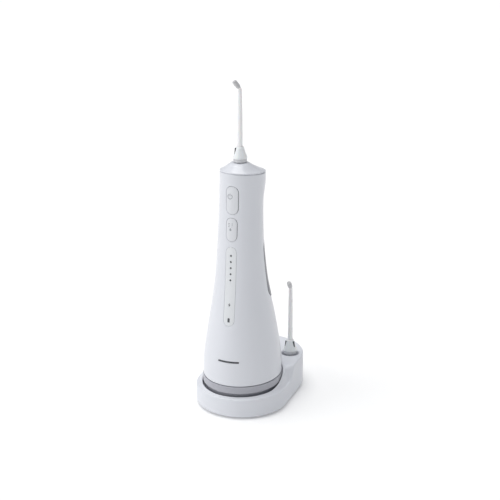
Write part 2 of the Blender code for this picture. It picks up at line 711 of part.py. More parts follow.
def make_drive():
    lying = (math.pi / 2, 0, 0)
    can = ((0, 7.5), (MOTOR_R, 7.5), (MOTOR_R, -7.5), (3, -7.5), (3, -8.4), (1.4, -8.4), (1.4, -3), (0, -3))
    turned("motor", can, "steel", HANDSET, at=(0, 3.6, MOTOR_Z), turn=(-math.pi / 2, 0, 0), steps=28)
    phase = math.pi / 2
    at = (0, GEAR_Y[1], MOTOR_Z)
    width = GEAR_Y[1] - GEAR_Y[0]
    pinion = outline_prism("motor_pinion", gear_outline(PINION_TEETH, phase), 0, width, "steel", HANDSET, at=at, turn=lying)
    shaft = cylinder("motor_shaft", 1.0, -8.4, 1.0, None, HANDSET, at=at, turn=lying, steps=12)
    join(pinion, shaft)
    half_tooth = math.pi / GEAR_TEETH
    at = (0, GEAR_Y[1], GEAR_Z)
    gear = outline_prism("drive_gear", gear_outline(GEAR_TEETH, -phase + half_tooth), 0, width, "gear_nylon", HANDSET, at=at, turn=lying)
    pin = cylinder("crank_pin", 1.1, -5.0, 1.0, None, HANDSET, at=(CRANK_R, GEAR_Y[1], GEAR_Z), turn=lying, steps=16)
    join(gear, pin)
    cut(gear, cylinder("gear_bore", 1.35, -1, 5, None, HANDSET, at=at, turn=lying, steps=16))
    cylinder("gear_axle", 0.95, -1.2, 8.6, "steel", HANDSET, at=(0, GEAR_Y[1] + 0.3 - 1.2, GEAR_Z), turn=lying, steps=12)
    make_rod_and_piston()


def make_rod_and_piston():
    low, high = Vector((CRANK_R, GEAR_Z)), Vector((CRANK_R, GEAR_Z + ROD_LENGTH))
    lying = (math.pi / 2, 0, 0)
    plane = (CRANK_R, NOZZLE_Y + 1.2, GEAR_Z)
    big, small, waist = 2.9, 2.1, 1.2
    outline = []
    for k in range(13):
        angle = math.radians(-240 + 300 * k / 12)
        outline.append((big * math.cos(angle), big * math.sin(angle)))
    for k in range(13):
        angle = math.radians(-60 + 300 * k / 12)
        outline.append((small * math.cos(angle), ROD_LENGTH + small * math.sin(angle)))
    rod = outline_prism("connecting_rod", outline, 0, 2.4, "gear_nylon", HANDSET, at=plane, turn=lying)
    for name, centre, radius in (("big_eye", low, 1.4), ("small_eye", high, waist)):
        at = (centre.x, plane[1], centre.y)
        cut(rod, cylinder(name, radius, -2, 4, None, HANDSET, at=at, turn=lying, steps=16))
    base = GEAR_Z + ROD_LENGTH + small + 2 * CRANK_R + 1.0
    head = ((0, base + 9), (2.7, base + 9), (2.7, base), (0, base))
    axis = (0, NOZZLE_Y, 0)
    piston = turned("piston", head, "frame_plastic", HANDSET, at=axis, steps=24)
    join(piston, block("clevis_bridge", (-2.4, NOZZLE_Y - 3.1, base - 0.4), (2.4, NOZZLE_Y + 3.1, base + 1.4), None, HANDSET))
    for n, y in enumerate((NOZZLE_Y - 3.1, NOZZLE_Y + 1.9)):
        join(piston, block(f"clevis_ear_{n}", (-2.4, y, base - 8.0), (2.4, y + 1.2, base + 0.6), None, HANDSET))
    collar("pump_cylinder", 3.1, 4.3, base + 4.4, PUMP_Z[1], "frame_plastic", HANDSET, at=axis, steps=28)
    valve = cylinder("valve_block", 4.5, PUMP_Z[1] + GAP, VALVE_TOP_Z, "frame_plastic", HANDSET, at=axis, steps=28)
    cut(valve, cylinder("valve_way", 1.0, 150, 220, None, HANDSET, at=(0, NOZZLE_Y, 0), steps=12))
    low, high = (2, NOZZLE_Y - 1, PUMP_Z[1] + 2.4), (9, NOZZLE_Y + 1, PUMP_Z[1] + 4.4)
    cut(valve, block("inlet_way", low, high, None, HANDSET))


def make_plumbing():
    x, y = SUCTION
    inlet_z = PUMP_Z[1] + 3.4
    points = [(x, y, 20), (x, y, 176)]
    bend = [(x - 0.4, y - 0.6, 181), (x - 1.4, y - 2.2, 184.4), (x - 2.6, y - 4.4, inlet_z - 0.5)]
    bend += [(x - 4.2, NOZZLE_Y, inlet_z), (5.2, NOZZLE_Y, inlet_z)]
    hose("suction_tube", points + bend, 1.8, "hose_clear", HANDSET)
    up = [(0, NOZZLE_Y, VALVE_TOP_Z + GAP), (0, NOZZLE_Y, 197), (0, NOZZLE_Y, SOCKET_FOOT_Z - 1.8)]
    hose("outlet_tube", up, 1.8, "hose_clear", HANDSET)


def make_power():
    can = ((0, CELL_Z[1]), (2.4, CELL_Z[1]), (2.4, CELL_Z[1] - 1), (CELL_R, CELL_Z[1] - 1), (CELL_R, CELL_Z[0]), (0, CELL_Z[0]))
    turned("battery_cell", can, "cell_blue", HANDSET, at=(0, CELL_Y, 0), steps=28)
    count = 48
    half_width, front, back = section(SKIRT_Z + 4)
    inner, outer, low, high = 3.6, 2.2, SKIRT_Z + 1.5, SKIRT_Z + 5.5
    corners = ((inner, low), (outer, low), (outer, high), (inner, high))
    rings = [oval(half_width - i, front + i, back - i, z, count) for i, z in corners]
    loft("receiver_coil", rings, "copper", HANDSET, around=True)


# Nozzles


def nozzle_path():
    """Centreline and radii from the shank's foot to the bent tip, about the knob's foot, tip towards -Y."""
    straight, bend, bend_r = NOZZLE_LENGTH - 10.2, math.radians(36), 4.0
    points = [(0, 0, -SHANK_LENGTH), (0, 0, -0.5), (0, 0, 13.0), (0, 0, 28), (0, 0, 44), (0, 0, straight)]
    radii = [2.3, 2.3, 2.15, 2.05, 1.9, 1.7]
    for k in range(1, 6):
        angle = bend * k / 5
        points.append((0, -bend_r * (1 - math.cos(angle)), straight + bend_r * math.sin(angle)))
        radii.append(1.5)
    along = Vector((0, -math.sin(bend), math.cos(bend)))
    end = Vector(points[-1])
    for distance, radius in ((0.4, 1.8), (1.0, 2.0), (6.4, 1.95), (7.0, 1.6)):
        points.append(end + along * distance)
        radii.append(radius)
    return points, radii


def make_nozzle(prefix, parent, at, turn):
    points, radii = nozzle_path()
    axis = Vector(at)
    placed = [Matrix.Rotation(turn, 3, "Z") @ Vector(point) + axis for point in points]
    hose(prefix + "nozzle_tube", placed, 2.0, "nozzle_white", parent, pivot=at, radii=radii)
    knob = ((2.7, 13.1), (3.2, 12.6), (4.1, 9.8), (5.1, 6.6), (6.1, 3.7), (6.1, 3.3), (2.9, 3.3))
    turned(prefix + "nozzle_knob", knob, "nozzle_white", parent, at=at, steps=32, closed=True)
    ring = ((2.9, 3.1), (5.6, 3.1), (5.7, 2.8), (5.7, 0.4), (2.9, 0.4))
    turned(prefix + "nozzle_ring", ring, "ring_grey", parent, at=at, steps=32, closed=True)


def make_nozzles():
    at = (0, NOZZLE_Y, CAP_TOP_Z + 0.1)
    socket = ((2.9, CAP_TOP_Z - 0.6), (4.0, CAP_TOP_Z - 0.6), (4.0, SOCKET_FOOT_Z), (2.9, SOCKET_FOOT_Z))
    turned("nozzle_socket", socket, "frame_plastic", HANDSET, at=(0, NOZZLE_Y, 0), steps=28, closed=True)
    make_nozzle("", HANDSET, at, NOZZLE_TIP_TURN)
    make_nozzle("spare_", STAND, (POCKET_X, POCKET_Y, SPARE_Z), 0.0)


make_stand_shell()
make_stand_inside()
make_tank()
make_housing_shell()
make_head_cap()
make_controls()
make_rear_panel()
make_release_button()
make_chassis()
make_drive()
make_plumbing()
make_power()
make_nozzles()
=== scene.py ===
"""Looks of the cordless water flosser on its charging stand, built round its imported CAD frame.

Lengths are in millimetres until MM turns them into metres. The handset, the stand and the tank are
shaped about the handset's own upright axis and moved to HANDSET at the end.
"""

import json
import math
from typing import NamedTuple

import bmesh
import bpy
import numpy as np
from mathutils import Matrix, Vector


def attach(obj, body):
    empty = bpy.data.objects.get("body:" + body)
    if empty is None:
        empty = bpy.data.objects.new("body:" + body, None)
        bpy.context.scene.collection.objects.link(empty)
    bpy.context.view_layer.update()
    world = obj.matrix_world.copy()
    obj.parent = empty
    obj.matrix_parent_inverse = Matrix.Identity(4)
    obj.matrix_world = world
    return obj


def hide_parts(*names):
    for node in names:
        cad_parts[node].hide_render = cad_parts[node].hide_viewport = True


MM = 0.001

# Driving dimensions, as in the CAD part
STAND_WIDTH = 80.0
STAND_LENGTH = 119.0
STAND_REAR_TOP = 30.5
SKIRT_Z = 29.0
RIM_Z = 208.3
RIM_SLOPE = 0.142
CAP_TOP_Z = 218.0
NOZZLE_LENGTH = 70.3
NOZZLE_Y = -5.5
NOZZLE_TIP_TURN = math.radians(-60)
WALL = 1.8
GAP = 0.35
CORNER_R = STAND_WIDTH / 2
HANDSET_Y = -(STAND_LENGTH - STAND_WIDTH) / 2
HANDSET = (0, HANDSET_Y, 0)
REAR_Y = STAND_LENGTH - STAND_WIDTH
WELL_FLOOR_Z = 13.0
INLET_Z = 7.2
WELL_CLEARANCE = 1.0
POCKET_X = 28.0
POCKET_Y = 45.0
POCKET_R = 7.4
SPARE_Z = STAND_REAR_TOP - 0.3
SHANK_LENGTH = 12.5
POCKET_FLOOR_Z = SPARE_Z - SHANK_LENGTH - 0.1
TANK_TOP_Z = 111.5
SUCTION_X, SUCTION_Y = 12.6, 1.5
# Height, half width, front and back of the handset's skin
STATIONS = np.array(
    (
        (SKIRT_Z, 33.2, -37.0, 37.0),
        (40.0, 33.0, -36.7, 36.8),
        (55.0, 31.5, -35.2, 35.0),
        (70.0, 29.2, -33.1, 32.4),
        (85.0, 26.8, -31.0, 29.0),
        (98.0, 24.5, -29.1, 25.4),
        (110.0, 22.7, -27.5, 22.4),
        (128.0, 20.8, -25.6, 18.8),
        (146.0, 19.5, -24.4, 16.4),
        (160.0, 18.9, -23.5, 15.7),
        (175.0, 18.4, -22.5, 16.4),
        (187.0, 18.3, -21.7, 17.6),
        (192.0, 18.5, -21.6, 19.6),
        (198.0, 18.7, -21.5, 22.4),
        (205.0, 18.7, -21.4, 23.2),
        (RIM_Z + 4, 18.7, -21.3, 23.4),
    )
)
SLOPES = np.array([np.gradient(STATIONS[:, k], STATIONS[:, 0]) for k in (1, 2, 3)]).T


class Plate(NamedTuple):
    """A rounded rectangle that is laid on the skin."""

    middle_z: float
    half_width: float
    half_height: float
    corner: float

    def outline(self, narrower=0.0, **divisions):
        """Its outline about zero, narrower by this much on each side."""
        return rounded_rectangle(self.half_width - narrower, self.half_height, self.corner, **divisions)


POWER = Plate(189.2, 5.6, 11.8, 5.0)
PRESSURE = Plate(164.2, 5.0, 10.0, 4.8)
WINDOW = Plate(115.4, 4.85, 34.0, 4.8)
BRAND_BAR = Plate(50.5, 9.5, 0.7, 0.6)
FILLER = Plate(111.5, 12.5, 11.0, 4.0)
RELEASE = Plate(197.3, 5.5, 3.6, 3.2)
TANK_PORT = Plate(105.6, 7.5, 3.4, 3.0)
CONTROLS_X = -1.2
PANEL_Z = 123.5
PANEL_HALF_HEIGHT = 26.5
PANEL_SPREAD = math.radians(86)
LAMP_HEIGHTS = (141.8, 136.5, 131.2, 125.9, 120.7)
LAMP_R = 0.75
CHARGE_Z = 99.5
BATTERY_Z = 86.5

# Fine edges that the CAD leaves out
GROOVE = 0.17
BUTTON_CLEARANCE = 0.17
RELEASE_CLEARANCE = 0.1
BUTTON_TAPER = -0.5
MARK_HEIGHT = 0.08
ICON_BASE = 0.42
SHARP_EDGE = math.radians(32)

# Viewpoint
CAMERA_AZIMUTH = math.radians(20)
CAMERA_ELEVATION = math.radians(20)
CAMERA_DISTANCE = 1.3905
CAMERA_TARGET = Vector((0.0067, -0.0195, 0.1396))
CAMERA_LENS = 119.07

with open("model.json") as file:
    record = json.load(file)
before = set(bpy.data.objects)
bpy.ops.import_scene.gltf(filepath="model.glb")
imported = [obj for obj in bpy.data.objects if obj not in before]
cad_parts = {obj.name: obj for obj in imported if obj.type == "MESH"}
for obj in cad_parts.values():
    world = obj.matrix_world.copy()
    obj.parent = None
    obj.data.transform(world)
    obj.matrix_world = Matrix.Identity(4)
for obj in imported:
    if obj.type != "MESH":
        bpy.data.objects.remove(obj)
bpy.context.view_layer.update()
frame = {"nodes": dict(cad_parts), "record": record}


def smooth_step(t):
    t = min(max(t, 0.0), 1.0)
    return t * t * (3 - 2 * t)


def mix(a, b, t):
    return a + (b - a) * t


def turns(count):
    """Equal steps once round, in radians."""
    return [2 * math.pi * i / count for i in range(count)]


# The handset's skin


def section(z):
    """(half width, front, back) of the handset's skin at a height, smooth through the stations."""
    heights = STATIONS[:, 0]
    i = int(np.clip(np.searchsorted(heights, z) - 1, 0, len(heights) - 2))
    span = heights[i + 1] - heights[i]
    t = min(max((z - heights[i]) / span, 0.0), 1.0)
    blend = 3 * t**2 - 2 * t**3
    lead, trail = t**3 - 2 * t**2 + t, t**3 - t**2
    return (
        (1 - blend) * STATIONS[i, 1:]
        + blend * STATIONS[i + 1, 1:]
        + span * (lead * SLOPES[i] + trail * SLOPES[i + 1])
    )


def skin(angle, z, offset=0.0):
    """Point on the skin, angle counted from +X towards the rear, moved outwards level by offset."""
    half_width, front, back = section(z)
    depth = (back - front) / 2
    normal = Vector((math.cos(angle) / half_width, math.sin(angle) / depth)).normalized()
    x = half_width * math.cos(angle) + offset * normal.x
    y = (front + back) / 2 + depth * math.sin(angle) + offset * normal.y
    return Vector((x, y, z))


def skin_ring(z, offset, count, tilt=0.0):
    """A ring of the skin, level or tilted by a share of the rim's fall towards the rear."""
    ring = []
    for angle in turns(count):
        height = z - tilt * RIM_SLOPE * skin(angle, z).y
        point = skin(angle, height, offset)
        ring.append(Vector((point.x, point.y, height)))
    return ring


def oval(half_width, front, back, z, count):
    middle, depth = (front + back) / 2, (back - front) / 2
    return [Vector((half_width * math.cos(a), middle + depth * math.sin(a), z)) for a in turns(count)]


# A side of the handset: its sign along Y, and how far round from the middle its own middle line lies
FRONT, CONTROLS, REAR = (-1, 0.0), (-1, CONTROLS_X), (1, 0.0)


def wrapped(side, middle_z, across, up, offset):
    """Point on the skin: across is counted round it from the side's middle line, seen from outside."""
    sign, middle = side
    z = middle_z + up
    half_width = section(min(max(z, SKIRT_Z), RIM_Z))[0]
    return skin(sign * (math.pi / 2 - (across + middle) / half_width), z, offset)


# Mesh helpers


def spline(points, per=6):
    """Points along a smooth curve through these, as tuples of any length."""
    rows = [np.array(point, float) for point in points]
    rows = [2 * rows[0] - rows[1]] + rows + [2 * rows[-1] - rows[-2]]
    found = []
    for before, a, b, after in zip(rows, rows[1:], rows[2:], rows[3:]):
        for k in range(per):
            t = k / per
            lead, trail = (b - before) / 2, (after - a) / 2
            found.append(
                (2 * t**3 - 3 * t**2 + 1) * a
                + (t**3 - 2 * t**2 + t) * lead
                + (3 * t**2 - 2 * t**3) * b
                + (t**3 - t**2) * trail
            )
    return [tuple(map(float, row)) for row in (*found, rows[-2])]


def bridge(bm, first, second):
    count = len(first)
    for i in range(count):
        j = (i + 1) % count
        bm.faces.new((first[i], first[j], second[j], second[i]))


def bridge_all(bm, rows):
    for first, second in zip(rows, rows[1:]):
        bridge(bm, first, second)


def fan(bm, row, point):
    middle = bm.verts.new(point)
    for i in range(len(row)):
        bm.faces.new((middle, row[i], row[(i + 1) % len(row)]))


def finish_object(name, bm, material, at):
    """Object in metres from a millimetre bmesh, moved to at."""
    bmesh.ops.translate(bm, verts=bm.verts, vec=Vector(at))
    bmesh.ops.scale(bm, verts=bm.verts, vec=(MM, MM, MM))
    bmesh.ops.recalc_face_normals(bm, faces=bm.faces)
    mesh = bpy.data.meshes.new(name)
    bm.to_mesh(mesh)
    bm.free()
    mesh.shade_smooth()
    mesh.set_sharp_from_angle(angle=SHARP_EDGE)
    made = bpy.data.objects.new(name, mesh)
    bpy.context.scene.collection.objects.link(made)
    if material:
        mesh.materials.append(material)
    return made


def loft(name, rings, material, around=False):
    """Skin through rings of equal point counts, closed by end faces or back on its first ring."""
    bm = bmesh.new()
    rows = [[bm.verts.new(point) for point in ring] for ring in rings]
    bridge_all(bm, rows)
    if around:
        bridge(bm, rows[-1], rows[0])
    else:
        for row in (rows[0], rows[-1]):
            fan(bm, row, sum((vert.co for vert in row), Vector()) / len(row))
    return finish_object(name, bm, material, HANDSET)


def lathe(name, profile, material, at, count=64, closed=False, turn=None):
    """Turned about Z from (radius, height) points. An end on the axis closes in a point."""
    bm = bmesh.new()
    rows, points = [], []
    for radius, height in profile:
        if radius == 0:
            points.append((len(rows), Vector((0, 0, height))))
        else:
            ring = [(radius * math.cos(a), radius * math.sin(a), height) for a in turns(count)]
            rows.append([bm.verts.new(point) for point in ring])
    bridge_all(bm, rows)
    if closed:
        bridge(bm, rows[-1], rows[0])
    for index, point in points:
        fan(bm, rows[0] if index == 0 else rows[-1], point)
    if turn:
        bmesh.ops.rotate(bm, verts=bm.verts, matrix=Matrix.Rotation(turn[1], 3, turn[0]))
    return finish_object(name, bm, material, at)


def tube(name, points, radii, material, at):
    """Round skin along a path, with a radius at each point."""
    count = 32
    points = [Vector(point) for point in points]
    bm = bmesh.new()
    rows = []
    side = Vector((1, 0, 0))
    for i, point in enumerate(points):
        along = (points[min(i + 1, len(points) - 1)] - points[max(i - 1, 0)]).normalized()
        side = (side - along * side.dot(along)).normalized()
        other = along.cross(side)
        ring = [point + radii[i] * (side * math.cos(a) + other * math.sin(a)) for a in turns(count)]
        rows.append([bm.verts.new(spot) for spot in ring])
    bridge_all(bm, rows)
    fan(bm, rows[0], points[0])
    fan(bm, rows[-1], points[-1])
    return finish_object(name, bm, material, at)


def rounded_rectangle(half_width, half_height, corner, steps=8, longest=1.5):
    """Closed outline about zero with divided sides, the same count for any size."""
    corners = []
    for quarter, (sx, sy) in enumerate(((1, 1), (-1, 1), (-1, -1), (1, -1))):
        for k in range(steps + 1):
            angle = (quarter + k / steps) * math.pi / 2
            x = sx * (half_width - corner) + corner * math.cos(angle)
            y = sy * (half_height - corner) + corner * math.sin(angle)
            corners.append((x, y))
    found = []
    sides = (2 * (half_width - corner), 2 * (half_height - corner))
    for n, ((x, y), (next_x, next_y)) in enumerate(zip(corners, corners[1:] + corners[:1])):
        side = sides[(n // (steps + 1)) % 2] if n % (steps + 1) == steps else 0
        parts = max(1, math.ceil(side / longest))
        found += [(mix(x, next_x, k / parts), mix(y, next_y, k / parts)) for k in range(parts)]
    return found


def moved_out(outline, grow):
    """The outline moved outwards by grow, point for point."""
    found = []
    count = len(outline)
    for i, (x, y) in enumerate(outline):
        before, after = Vector(outline[i - 1]), Vector(outline[(i + 1) % count])
        along = (after - before).normalized()
        found.append((x + grow * along.y, y - grow * along.x))
    return found


def patch(name, side, middle_z, outline, profile, material, rings=8, lift=None):
    """Piece that follows the skin inside an outline. profile runs from its back to its front as
    (grow, offset) steps round its edge, and lift adds to the offset by place."""
    lift = lift or (lambda across, up: 0.0)
    bm = bmesh.new()

    def row(points, offset):
        return [bm.verts.new(wrapped(side, middle_z, x, y, offset + lift(x, y))) for x, y in points]

    rows = [row(moved_out(outline, grow), offset) for grow, offset in profile]
    bridge_all(bm, rows)
    for end, (grow, offset) in ((rows[0], profile[0]), (rows[-1], profile[-1])):
        edge = moved_out(outline, grow)
        inner = end
        for k in range(rings - 1, 0, -1):
            share = k / rings
            nearer = row([(x * share, y * share) for x, y in edge], offset)
            bridge(bm, inner, nearer)
            inner = nearer
        fan(bm, inner, wrapped(side, middle_z, 0, 0, offset + lift(0, 0)))
    return finish_object(name, bm, material, HANDSET)


def cutter_profile(grow, chamfer=0.16, deep=-6.0):
    """Edge steps of a cutter that leaves a softened rim."""
    high = 3.0
    return [
        (grow, deep),
        (grow, -chamfer),
        (grow + chamfer * 0.3, -chamfer * 0.35),
        (grow + chamfer, 0.02),
        (grow + chamfer + high, high),
    ]


def cut(made, *cutters):
    """Cuts and keeps the result, and removes the cutters."""
    for cutter in cutters:
        boolean = made.modifiers.new("cut", "BOOLEAN")
        boolean.operation = "DIFFERENCE"
        boolean.solver = "EXACT"
        boolean.object = cutter
    bpy.context.view_layer.update()
    shape = made.evaluated_get(bpy.context.evaluated_depsgraph_get())
    mesh = bpy.data.meshes.new_from_object(shape)
    made.modifiers.clear()
    mesh.name = made.name
    made.data = mesh
    for cutter in cutters:
        bpy.data.objects.remove(cutter)
    mesh.set_sharp_from_angle(angle=SHARP_EDGE)
    return made


def place(made, body, slot, *nodes):
    """Rides on a body and stands for CAD nodes, whose parts it hides. The slot argument is not used."""
    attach(made, body)
    if nodes:
        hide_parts(*nodes)


# Materials


def node(tree, kind, **inputs):
    made = tree.nodes.new(kind)
    for name, value in inputs.items():
        made.inputs[name.replace("_", " ")].default_value = value
    return made


def finish(
    name, colour, roughness, metallic=0.0, grain=900.0, bump=0.02, vary=0.03, coat=0.0, **shader_inputs
):
    """Moulded or machined surface: faint colour drift, uneven gloss and a fine moulded grain."""
    made = bpy.data.materials.new(name)
    made.use_nodes = True
    tree = made.node_tree
    shader = tree.nodes["Principled BSDF"]
    shader.inputs["Metallic"].default_value = metallic
    shader.inputs["Coat Weight"].default_value = coat
    shader.inputs["Coat Roughness"].default_value = 0.12
    for key, value in shader_inputs.items():
        shader.inputs[key.replace("_", " ")].default_value = value
    coordinates = tree.nodes.new("ShaderNodeTexCoord")
    drift = node(tree, "ShaderNodeTexNoise", Scale=26.0, Detail=3.0)
    fine = node(tree, "ShaderNodeTexNoise", Scale=grain, Detail=2.0)
    ramp = tree.nodes.new("ShaderNodeMapRange")
    ramp.inputs["To Min"].default_value = max(roughness - 0.05, 0.02)
    ramp.inputs["To Max"].default_value = min(roughness + 0.05, 1.0)
    tint = tree.nodes.new("ShaderNodeMix")
    tint.data_type = "RGBA"
    low = [channel * (1 - vary) for channel in colour]
    high = [min(channel * (1 + vary), 1.0) for channel in colour]
    tint.inputs[6].default_value = (*low, 1)
    tint.inputs[7].default_value = (*high, 1)
    relief = node(tree, "ShaderNodeBump", Strength=bump, Distance=0.0002)
    link = tree.links.new
    for texture in (drift, fine):
        link(coordinates.outputs["Object"], texture.inputs["Vector"])
    link(drift.outputs["Fac"], tint.inputs[0])
    link(tint.outputs[2], shader.inputs["Base Color"])
    link(drift.outputs["Fac"], ramp.inputs["Value"])
    link(ramp.outputs["Result"], shader.inputs["Roughness"])
    link(fine.outputs["Fac"], relief.inputs["Height"])
    link(relief.outputs["Normal"], shader.inputs["Normal"])
    return made


def add_windings(made, scale, strength):
    """Relief of fine rings about Z on top of a finish, as on wound wire."""
    tree = made.node_tree
    shader = tree.nodes["Principled BSDF"]
    grain = next(item for item in tree.nodes if item.bl_idname == "ShaderNodeBump")
    coordinates = next(item for item in tree.nodes if item.bl_idname == "ShaderNodeTexCoord")
    lines = node(tree, "ShaderNodeTexWave", Scale=scale, Distortion=0.4)
    lines.wave_type = "RINGS"
    lines.rings_direction = "Z"
    relief = node(tree, "ShaderNodeBump", Strength=strength, Distance=0.0003)
    tree.links.new(coordinates.outputs["Object"], lines.inputs["Vector"])
    tree.links.new(lines.outputs["Fac"], relief.inputs["Height"])
    tree.links.new(grain.outputs["Normal"], relief.inputs["Normal"])
    tree.links.new(relief.outputs["Normal"], shader.inputs["Normal"])
    return made


COOL_WHITE = (0.745, 0.762, 0.81)
WHITE_GLOSS = finish("white_gloss_plastic", COOL_WHITE, 0.3, vary=0.012, coat=0.15)
WHITE_SATIN = finish("white_satin_plastic", COOL_WHITE, 0.42, grain=1400.0, bump=0.05, vary=0.012)
BUTTON_WHITE = finish("button_white_rubber", (0.75, 0.765, 0.8), 0.46, grain=1600.0, bump=0.05, vary=0.012)
NOZZLE_WHITE = finish("nozzle_white_plastic", (0.92, 0.92, 0.925), 0.28, vary=0.01, Subsurface_Weight=0.08)
TIP_GREY = finish("nozzle_tip_grey", (0.56, 0.56, 0.57), 0.4, vary=0.02)
RING_GREY = finish("nozzle_ring_grey", (0.7, 0.71, 0.73), 0.35, vary=0.02)
SMOKE_GREY = finish("smoke_grey_plastic", (0.2, 0.205, 0.235), 0.34, grain=1300.0, bump=0.05)
BAND_GREY = finish("tank_band_grey", (0.42, 0.425, 0.47), 0.36, grain=1300.0, bump=0.04)
TANK_CLEAR = finish(
    "tank_smoke_clear", (0.5, 0.52, 0.57), 0.14, vary=0.01, bump=0.01, Transmission_Weight=0.75, IOR=1.49
)
WINDOW_WHITE = finish("window_white_acrylic", (0.765, 0.785, 0.81), 0.16, bump=0.008, vary=0.008, coat=0.4)
# Dark grey of the printed marks, the lamps and the plain bar. It is also painted shade in the nozzle knobs'
# grip slots.
MARK_AND_SHADE_GREY = finish("mark_and_painted_shade_grey", (0.07, 0.075, 0.085), 0.45, vary=0.05)
ICON_GREY = finish("icon_light_grey", (0.36, 0.38, 0.41), 0.5, vary=0.04)
RUBBER = finish("rubber_dark_grey", (0.06, 0.062, 0.068), 0.8, grain=700.0, bump=0.15, vary=0.08)
BLACK = finish("black_plastic", (0.02, 0.02, 0.024), 0.45, bump=0.06)
FRAME_GREY = finish("frame_grey_plastic", (0.42, 0.44, 0.46), 0.5, bump=0.08)
BOARD = finish("circuit_board_green", (0.012, 0.11, 0.045), 0.35, grain=300.0, bump=0.12, vary=0.2)
COPPER = add_windings(finish("copper_winding", (0.68, 0.31, 0.14), 0.32, metallic=1.0), 900.0, 0.8)
STEEL = finish("turned_steel", (0.55, 0.56, 0.58), 0.28, metallic=1.0, grain=500.0, bump=0.05)
GEAR = finish("gear_nylon", (0.72, 0.68, 0.56), 0.45, bump=0.06)
CELL = finish("battery_wrap_blue", (0.05, 0.14, 0.38), 0.3, coat=0.3)
HOSE = finish("hose_milky_silicone", (0.62, 0.66, 0.68), 0.35, Transmission_Weight=0.35)
BY_SLOT = {
    "white_gloss": WHITE_GLOSS,
    "white_satin": WHITE_SATIN,
    "nozzle_white": NOZZLE_WHITE,
    "smoke_grey": SMOKE_GREY,
    "tank_grey": BAND_GREY,
    "window_white": WINDOW_WHITE,
    "mark_grey": MARK_AND_SHADE_GREY,
    "ring_grey": RING_GREY,
    "rubber_grey": RUBBER,
    "black_plastic": BLACK,
    "frame_plastic": FRAME_GREY,
    "board_green": BOARD,
    "copper": COPPER,
    "steel": STEEL,
    "gear_nylon": GEAR,
    "cell_blue": CELL,
    "hose_clear": HOSE,
}


def dress_cad_nodes():
    """Every CAD node gets its slot's finish, and softened edges where it is a hard-edged piece."""
    for part in frame["record"]["subparts"]:
        made = frame["nodes"][part["node"]]
        made.data.materials.clear()
        made.data.materials.append(BY_SLOT[part["material_slot"]])
        rounding = made.modifiers.new("softened_edges", "BEVEL")
        rounding.width = 0.0002
        rounding.segments = 2
        rounding.limit_method = "ANGLE"
        rounding.angle_limit = math.radians(50)
        rounding.harden_normals = True


# Handset


def make_body_shell():
    """Shell of even thickness with rounded rims, a tilted top and holes for what is set into it."""
    count, levels = 200, 88
    tilt_from, tilt_to = 178.0, RIM_Z - 8.0
    heights = [mix(SKIRT_Z + 1, RIM_Z - 1, k / levels) for k in range(levels + 1)]
    heights = [SKIRT_Z + 0.5, *heights, RIM_Z - 0.4]
    tilted = [(z, smooth_step((z - tilt_from) / (tilt_to - tilt_from))) for z in heights]
    rings = [skin_ring(SKIRT_Z, -0.5, count), skin_ring(SKIRT_Z + 0.15, -0.15, count)]
    rings += [skin_ring(z, 0.0, count, tilt) for z, tilt in tilted]
    rim = ((RIM_Z - 0.12, 0.12), (RIM_Z, 0.4), (RIM_Z, WALL))
    rings += [skin_ring(z, -inset, count, 1.0) for z, inset in rim]
    rings += [skin_ring(z, -WALL, count, tilt) for z, tilt in tilted[::-4]]
    rings.append(skin_ring(SKIRT_Z, -WALL, count))
    shell = loft("body_shell", rings, WHITE_GLOSS, around=True)

    def hole(name, side, plate, grow=GROOVE, **edge):
        profile = cutter_profile(grow, **edge)
        return patch(name, side, plate.middle_z, plate.outline(), profile, None, rings=4)

    cut(
        shell,
        hole("power_hole", CONTROLS, POWER),
        hole("pressure_hole", CONTROLS, PRESSURE),
        hole("window_hole", CONTROLS, WINDOW, grow=0.13),
        hole("bar_hole", FRONT, BRAND_BAR, grow=0.1, chamfer=0.1, deep=-0.6),
        hole("release_hole", REAR, RELEASE),
        patch("panel_hole", REAR, PANEL_Z, panel_outline(), cutter_profile(GROOVE), None, rings=10),
    )
    place(shell, "housing", "white_gloss", "housing_shell")


def panel_outline():
    """The rear panel wraps nearly half way round the handset, with full corners."""
    found = []
    for across, share in rounded_rectangle(1.0, 1.0, 0.34, 10, longest=0.05):
        up = share * PANEL_HALF_HEIGHT
        found.append((across * PANEL_SPREAD * section(PANEL_Z + up)[0], up))
    return found


def make_head_cap():
    """Cone round the nozzle that runs out to the tilted rim, with a lip inside the shell."""
    count, bore, thick, lip_thick, lip_deep = 160, 5.3, 1.4, 1.4, 3.0
    half_width, front, back = STATIONS[-2, 1:]
    top = CAP_TOP_Z - RIM_Z - GAP
    axis = Vector((0, NOZZLE_Y, 0))

    def ring(up, share, inset=0.0):
        """Ring at a height above the rim, a share of the way out from the bore to the rim."""
        row = []
        for rim in oval(half_width - inset, front + inset, back - inset, 0.0, count):
            way = (rim - axis).normalized()
            reach = share ** (1.25 + 0.45 * way.y) * ((rim - axis).length - bore + inset)
            point = axis + way * (bore - inset + reach)
            point.z = RIM_Z + GAP + up - RIM_SLOPE * point.y * share
            row.append(point)
        return row

    brim = ((0.4, 1.0), (0.85, 0.99), (1.4, 0.94), (2.4, 0.83))
    cone = ((4.3, 0.655), (5.7, 0.53), (7.3, 0.39), (8.7, 0.22), (top - 0.2, 0.06))
    shape = spline(brim + cone, 5)
    outer = [(0.0, 0.975), (0.15, 0.992), *shape, (top, 0.01), (top, 0.0)]
    rings = [ring(up, share) for up, share in outer] + [ring(top, 0.0, 1.0)]
    rings += [ring(up - thick, share, 1.0) for up, share in reversed(shape) if up > thick + 0.5]
    lip = WALL + GAP + 0.25
    inside = ((-lip_deep, lip + lip_thick), (-lip_deep, lip), (0.0, lip))
    rings += [ring(up, 1.0, inset) for up, inset in inside]
    place(loft("head_cap_skin", rings, WHITE_GLOSS, around=True), "housing", "white_gloss", "head_cap")


